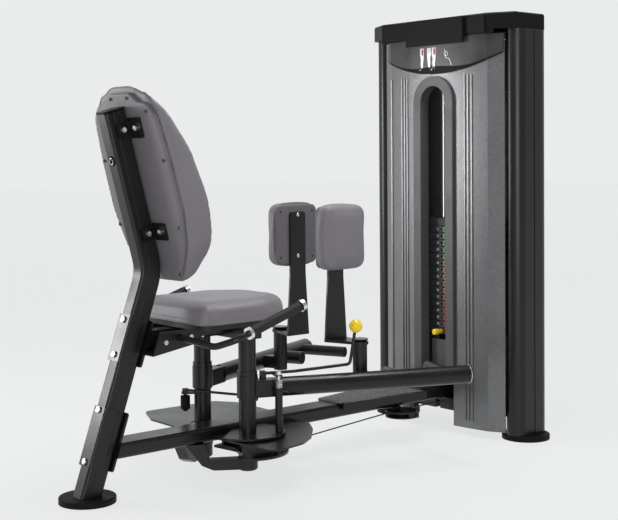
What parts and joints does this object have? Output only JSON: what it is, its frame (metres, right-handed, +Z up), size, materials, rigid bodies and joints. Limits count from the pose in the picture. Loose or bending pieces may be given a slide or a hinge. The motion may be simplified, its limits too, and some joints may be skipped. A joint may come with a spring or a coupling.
{
  "type": "hip abductor machine",
  "caption": "Selectorised seated hip adductor and abductor machine: reclined seat, two swinging leg arms with swivel thigh pads, beam, cable and shrouded weight tower.",
  "frame": {"origin": "on the floor under the middle of the machine's bounding box", "axes": "+X from the rear post towards the weight tower, the way the seated user faces; +Y to the user's left; +Z up"},
  "size_m": [1.9772, 0.9708, 1.652],
  "materials": {
    "frame_paint": "semi-gloss black powder coat",
    "post_paint": "semi-gloss black powder coat",
    "shroud_paint": "speckled dark metallic paint",
    "upholstery": "grey embossed vinyl",
    "board": "black moulded board",
    "shell": "grey vinyl over a moulded back shell",
    "chrome": "polished",
    "bolt_steel": "zinc plated",
    "dark_steel": "blackened steel",
    "rubber": "moulded black rubber",
    "grip": "ribbed rubber sleeve",
    "yellow": "gloss yellow",
    "black_plastic": "matt moulded",
    "grey_plastic": "matt",
    "placard": "printed laminated sheet",
    "label": "printed stickers, green to red",
    "plate_iron": "painted iron",
    "cable": "nylon coated wire rope"
  },
  "bodies": {
    "frame": {"rear_post": "post_paint", "rear_post_cap": "black_plastic", "post_clamps": "frame_paint", "post_bolts": "bolt_steel", "foot_discs": "rubber", "main_beam": "frame_paint", "seat_frame": "frame_paint", "seat_board": "board", "seat_cushion": "upholstery", "back_board": "shell", "back_cushion": "upholstery", "backrest_lugs": "frame_paint", "upholstery_bolts": "bolt_steel", "handle_tubes": "frame_paint", "handle_grips": "grip", "grip_collars": "chrome", "pivot_shafts": "frame_paint", "lower_bearings": "frame_paint", "wing_guards": "frame_paint", "tread_plate": "frame_paint", "tower_uprights": "frame_paint", "tower_cross_members": "frame_paint", "front_shroud": "shroud_paint", "rear_shroud": "shroud_paint", "slot_trim": "grey_plastic", "shroud_strips": "shroud_paint", "exercise_placard": "placard", "header_cap": "black_plastic", "header_panels": "black_plastic", "guide_rods": "chrome", "stack_risers": "rubber", "slot_foot_plate": "grey_plastic", "pulley_mounts": "dark_steel", "cable_run": "cable", "stack_cable": "cable"},
    "stack": {"weight_plates": "plate_iron", "weight_labels": "label", "top_plate": "plate_iron"},
    "pin": {"selector_pin": "yellow"},
    "cam": {"right_cam": "frame_paint"},
    "sleeve": {"left_sleeve": "frame_paint", "stop_bumper": "rubber"},
    "sync": {"sync_rod": "dark_steel"},
    "arm_r": {"right_arm": "frame_paint", "right_foot_pegs": "frame_paint", "plunger_guide": "frame_paint"},
    "arm_l": {"left_arm": "frame_paint", "left_foot_pegs": "frame_paint"},
    "plunger": {"plunger_pin": "chrome"},
    "lever": {"release_lever": "frame_paint", "lever_ball": "yellow"},
    "pad_r": {"right_pad_plate": "frame_paint", "right_pad_board": "shell", "right_pad_cushion": "upholstery"},
    "pad_l": {"left_pad_plate": "frame_paint", "left_pad_board": "shell", "left_pad_cushion": "upholstery"},
    "head_wheel": {"head_pulley": "black_plastic"},
    "base_wheel": {"base_pulley": "black_plastic"},
    "idler_wheel": {"idler_pulley": "black_plastic"}
  },
  "joints": [
    {"name": "stack_lift", "type": "slide", "parent": "frame", "child": "stack", "axis": [0, 0, 1], "range_m": [0, 0.0733], "deforming": ["stack_cable"]},
    {"name": "cam_turn", "type": "hinge", "parent": "frame", "child": "cam", "pos_m": [-0.34325, -0.13, 0.18], "axis": [0, 0, -1], "range_deg": [0, 40.2]},
    {"name": "left_sleeve_turn", "type": "hinge", "parent": "frame", "child": "sleeve", "pos_m": [-0.34325, 0.13, 0.18], "axis": [0, 0, 1], "range_deg": [0, 40.2]},
    {"name": "sync_rod_turn", "type": "hinge", "parent": "sleeve", "child": "sync", "pos_m": [-0.39694, 0.161, 0.276], "axis": [0, 0, 1], "range_deg": [-40.2, 0]},
    {"name": "start_angle", "type": "hinge", "parent": "cam", "child": "arm_r", "pos_m": [-0.34325, -0.13, 0.313], "axis": [0, 0, -1], "range_deg": [0, 30]},
    {"name": "left_start_angle", "type": "hinge", "parent": "sleeve", "child": "arm_l", "pos_m": [-0.34325, 0.13, 0.313], "axis": [0, 0, 1], "range_deg": [0, 30]},
    {"name": "right_pad_swivel", "type": "hinge", "parent": "arm_r", "child": "pad_r", "pos_m": [0.09591, -0.22407, 0.435], "axis": [0, 0, -1], "range_deg": [0, 180]},
    {"name": "left_pad_swivel", "type": "hinge", "parent": "arm_l", "child": "pad_l", "pos_m": [0.09591, 0.22407, 0.435], "axis": [0, 0, 1], "range_deg": [0, 180]},
    {"name": "release_lever_lift", "type": "hinge", "parent": "arm_r", "child": "lever", "pos_m": [-0.29262, -0.15149, 0.362], "axis": [-0.3907, -0.9205, 0], "range_deg": [0, 11], "stiffness_Nm_per_rad": 1.5, "springref_deg": -40.11},
    {"name": "plunger_lift", "type": "slide", "parent": "arm_r", "child": "plunger", "axis": [0, 0, 1], "range_m": [0, 0.00846]},
    {"name": "selector_pin_pull", "type": "slide", "parent": "stack", "child": "pin", "axis": [-1, 0, 0], "range_m": [0, 0.065]},
    {"name": "head_pulley_turn", "type": "hinge", "parent": "frame", "child": "head_wheel", "pos_m": [0.85875, -0.014, 1.5], "axis": [0, 1, 0], "range_deg": [0, 77.36]},
    {"name": "base_pulley_turn", "type": "hinge", "parent": "frame", "child": "base_wheel", "pos_m": [0.86375, -0.014, 0.16], "axis": [0, 1, 0], "range_deg": [0, 85]},
    {"name": "idler_pulley_turn", "type": "hinge", "parent": "frame", "child": "idler_wheel", "pos_m": [0.44875, -0.08, 0.11], "axis": [0, 0, 1], "range_deg": [0, 94.33]}
  ],
  "couplings": [
    {"joint": "cam_turn", "follows": "stack_lift", "rad_per_m": 9.5238},
    {"joint": "left_sleeve_turn", "follows": "stack_lift", "rad_per_m": 9.5238},
    {"joint": "sync_rod_turn", "follows": "stack_lift", "rad_per_m": -9.5238},
    {"joint": "left_start_angle", "follows": "start_angle", "ratio": 1},
    {"joint": "plunger_lift", "follows": "release_lever_lift", "m_per_rad": 0.043},
    {"joint": "head_pulley_turn", "follows": "stack_lift", "rad_per_m": 18.182},
    {"joint": "base_pulley_turn", "follows": "stack_lift", "rad_per_m": 20},
    {"joint": "idler_pulley_turn", "follows": "stack_lift", "rad_per_m": 22.222}
  ]
}
